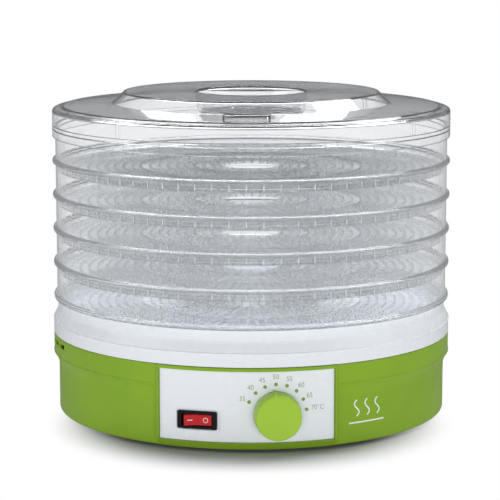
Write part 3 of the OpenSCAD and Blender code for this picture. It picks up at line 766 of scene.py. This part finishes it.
def on_surface(az, z, r, x, y, out):
    """Point in metres at x to the right and y up from (az, z), measured along a wall of radius r."""
    return at(az + math.degrees(x / r), r + out, z + y)


def make_scale(mats):
    """Eight dots around the knob, and the temperatures beside them."""
    labels = ["35", "40", "45", "50", "55", "60", "65", "70°C"]
    first, last = 155.0, 7.2
    circle = 23.65
    bm = bmesh.new()
    for k in range(len(labels)):
        a = math.radians(first + (last - first) * k / 7)
        x, y = circle * math.cos(a), circle * math.sin(a)
        loops = []
        for out, size in ((-0.05, 1.45), (0.07, 1.45), (0.09, 1.3)):
            loops.append([bm.verts.new(on_surface(KNOB_AZ, KNOB_Z, PANEL_R, x + dx, y + dy, out))
                          for dx, dy, _ in circle_ring(size, 0, 28)])
        for one, two in zip(loops, loops[1:]):
            for n in range(28):
                wall(bm, one[n], one[(n + 1) % 28], two[(n + 1) % 28], two[n])
        wall(bm, *loops[0])
        wall(bm, *loops[-1])
    finish_mesh("scale_dots", bm, "base", [mats["print_green"]], 34)
    for k, label in enumerate(labels):
        a = math.radians(first + (last - first) * k / 7)
        reach = 29.4 + (3.2 if "C" in label else 0)
        x, y = reach * math.cos(a), reach * math.sin(a)
        make_text(f"scale_{35 + 5 * k}", label, 4.1, KNOB_AZ, KNOB_Z, PANEL_R, x, y, mats["print_green"])


def make_text(name, words, size, az, z, r, x, y, material):
    """Thin raised figures, centred on x and y and bent around the wall."""
    curve = bpy.data.curves.new(name, "FONT")
    curve.body = words
    curve.size = size * 1.38
    curve.align_x = "CENTER"
    curve.align_y = "CENTER"
    curve.offset = -0.055
    curve.extrude = 0.06
    curve.resolution_u = 4
    holder = bpy.data.objects.new(name + "_curve", curve)
    bpy.context.scene.collection.objects.link(holder)
    bpy.context.view_layer.update()
    mesh = bpy.data.meshes.new_from_object(holder)
    bpy.data.objects.remove(holder)
    for vertex in mesh.vertices:
        px, py, pz = vertex.co
        vertex.co = on_surface(az, z, r, x + px * 0.9, y + py, pz + 0.02)
    mesh.name = name
    place_mesh(name, mesh, "base", [material], 34)


def make_mark(mats):
    """Three rising waves of warm air over a line: a generic mark printed on the green wall."""
    bm = bmesh.new()
    az, z, r = 35.5, GROUND + 21, WALL_R
    half_line = 0.55

    def stroke(points):
        sides = []
        for k, (x, y) in enumerate(points):
            ax, ay = points[max(k - 1, 0)]
            bx, by = points[min(k + 1, len(points) - 1)]
            length = math.hypot(bx - ax, by - ay)
            nx, ny = -(by - ay) / length * half_line, (bx - ax) / length * half_line
            sides.append([on_surface(az, z, r, x + s * nx, y + s * ny, out)
                          for s, out in ((1, -0.05), (1, 0.08), (-1, 0.08), (-1, -0.05))])
        loops = [[bm.verts.new(p) for p in four] for four in sides]
        for one, two in zip(loops, loops[1:]):
            for n in range(4):
                wall(bm, one[n], one[(n + 1) % 4], two[(n + 1) % 4], two[n])
        wall(bm, *loops[0])
        wall(bm, *loops[-1])

    for x0 in (-10, 0, 10):
        stroke([(x0 + 2.2 * math.sin(math.radians(30 * k)), 1.1 * k) for k in range(13)])
    stroke([(x, -5) for x in range(-17, 18, 2)])
    finish_mesh("air_mark", bm, "base", [mats["print_white"]], 34)


# ---------- frame nodes that stay ----------

def finish_nodes(mats):
    """Gives every CAD node that still shows the material of its slot."""
    slots = {part["node"]: part["material_slot"] for part in frame["record"]["subparts"]}
    for name, node in frame["nodes"].items():
        node.data.materials.clear()
        node.data.materials.append(mats[slots[name]])


# ---------- stage ----------

def make_floor():
    """A floor that runs out into plain white away from the object. Near the object the paper is mid grey: a
    painted shadow pool, centred a little in front of it, that the lamps' own shadows also fall on.
    """
    size = 30.0
    mesh = bpy.data.meshes.new("floor")
    mesh.from_pydata([(-size, -size, 0), (size, -size, 0), (size, size, 0), (-size, size, 0)], [],
                     [(0, 1, 2, 3)])
    floor = bpy.data.objects.new("floor", mesh)
    bpy.context.scene.collection.objects.link(floor)
    material = bpy.data.materials.new("floor")
    material.use_nodes = True
    tree = material.node_tree
    tree.nodes.clear()
    # mid grey paper near the object, darker than the white beyond: painted shade that deepens the contact
    # shadow
    painted_shade_paper = add(tree, "ShaderNodeBsdfDiffuse", Color=(0.55, 0.55, 0.55, 1))
    glow = add(tree, "ShaderNodeEmission", Color=(1, 1, 1, 1))
    path = add(tree, "ShaderNodeLightPath")
    mirrored = add(tree, "ShaderNodeMath", operation="SUBTRACT")
    tree.links.new(path.outputs["Is Reflection Ray"], mirrored.inputs[0])
    tree.links.new(path.outputs["Is Diffuse Ray"], mirrored.inputs[1])
    strength = ramp(tree, mirrored.outputs[0], 0, 1, FLOOR_GLOW, FLOOR_MIRRORED)
    tree.links.new(strength, glow.inputs["Strength"])
    place = add(tree, "ShaderNodeNewGeometry")
    distance = add(tree, "ShaderNodeVectorMath", operation="DISTANCE")
    distance.inputs[1].default_value = (0, -0.06, 0)  # middle of the painted shadow pool on the paper, in metres
    tree.links.new(place.outputs["Position"], distance.inputs[0])
    away = ramp(tree, distance.outputs["Value"], 0.11, 0.17, 0, 1)
    mix = add(tree, "ShaderNodeMixShader")
    tree.links.new(away, mix.inputs[0])
    tree.links.new(painted_shade_paper.outputs[0], mix.inputs[1])
    tree.links.new(glow.outputs[0], mix.inputs[2])
    out = add(tree, "ShaderNodeOutputMaterial")
    tree.links.new(mix.outputs[0], out.inputs["Surface"])
    mesh.materials.append(material)


def make_light(name, place, target, size, power, mirrored=True):
    """Area light of power watts that faces target; glossy and clear surfaces show it only if mirrored."""
    light = bpy.data.lights.new(name, "AREA")
    light.shape = "RECTANGLE"
    light.size, light.size_y = size
    light.energy = power
    lamp = bpy.data.objects.new(name, light)
    lamp.location = place
    lamp.rotation_euler = (Vector(target) - Vector(place)).to_track_quat("-Z", "Y").to_euler()
    lamp.visible_camera = False
    lamp.visible_glossy = mirrored
    lamp.visible_transmission = mirrored
    bpy.context.scene.collection.objects.link(lamp)


FLOOR_GLOW = 1.0
FLOOR_MIRRORED = 0.3  # what glossy surfaces reflect of the floor, as in a studio with dark walls
WORLD = 0.19


def make_stage():
    make_floor()
    world = bpy.data.worlds.new("studio")
    world.use_nodes = True
    world.node_tree.nodes["Background"].inputs["Color"].default_value = (0.97, 0.985, 1, 1)
    world.node_tree.nodes["Background"].inputs["Strength"].default_value = WORLD
    bpy.context.scene.world = world
    make_light("overhead", (0.15, 0.65, 1.4), (0, 0, 0.1), (2.2, 0.7), 32)
    make_light("left_panel", (-1.3, -0.5, 0.6), (0, 0, 0.15), (0.9, 1.0), 3.5)
    make_light("right_panel", (1.3, -0.5, 0.6), (0, 0, 0.15), (0.9, 1.0), 2)
    make_light("front_fill", (0.2, -2.6, 0.3), (0, 0, 0.12), (2.0, 0.4), 27, mirrored=False)


def make_camera():
    """A long lens 1.7 m away, a little above the lid and just right of the front."""
    distance, height = 1.7, 0.4117
    swing, tilt, turn = 1.3, 9.315, 0.034
    data = bpy.data.cameras.new("camera")
    data.lens = 147.6
    data.sensor_width = 36
    data.clip_end = 60
    camera = bpy.data.objects.new("camera", data)
    a = math.radians(swing)
    camera.location = (distance * math.sin(a), -distance * math.cos(a), height)
    camera.rotation_euler = (math.radians(90 - tilt), 0, math.radians(swing + turn))
    bpy.context.scene.collection.objects.link(camera)
    bpy.context.scene.camera = camera


make_camera()
mats = make_materials()
finish_nodes(mats)
make_trays(mats)
make_lid(mats)
make_lower_housing(mats)
make_upper_housing(mats)
make_panel(mats)
make_knob(mats)
make_switch(mats)
make_scale(mats)
make_mark(mats)
make_stage()
bpy.context.scene.view_settings.view_transform = "Standard"
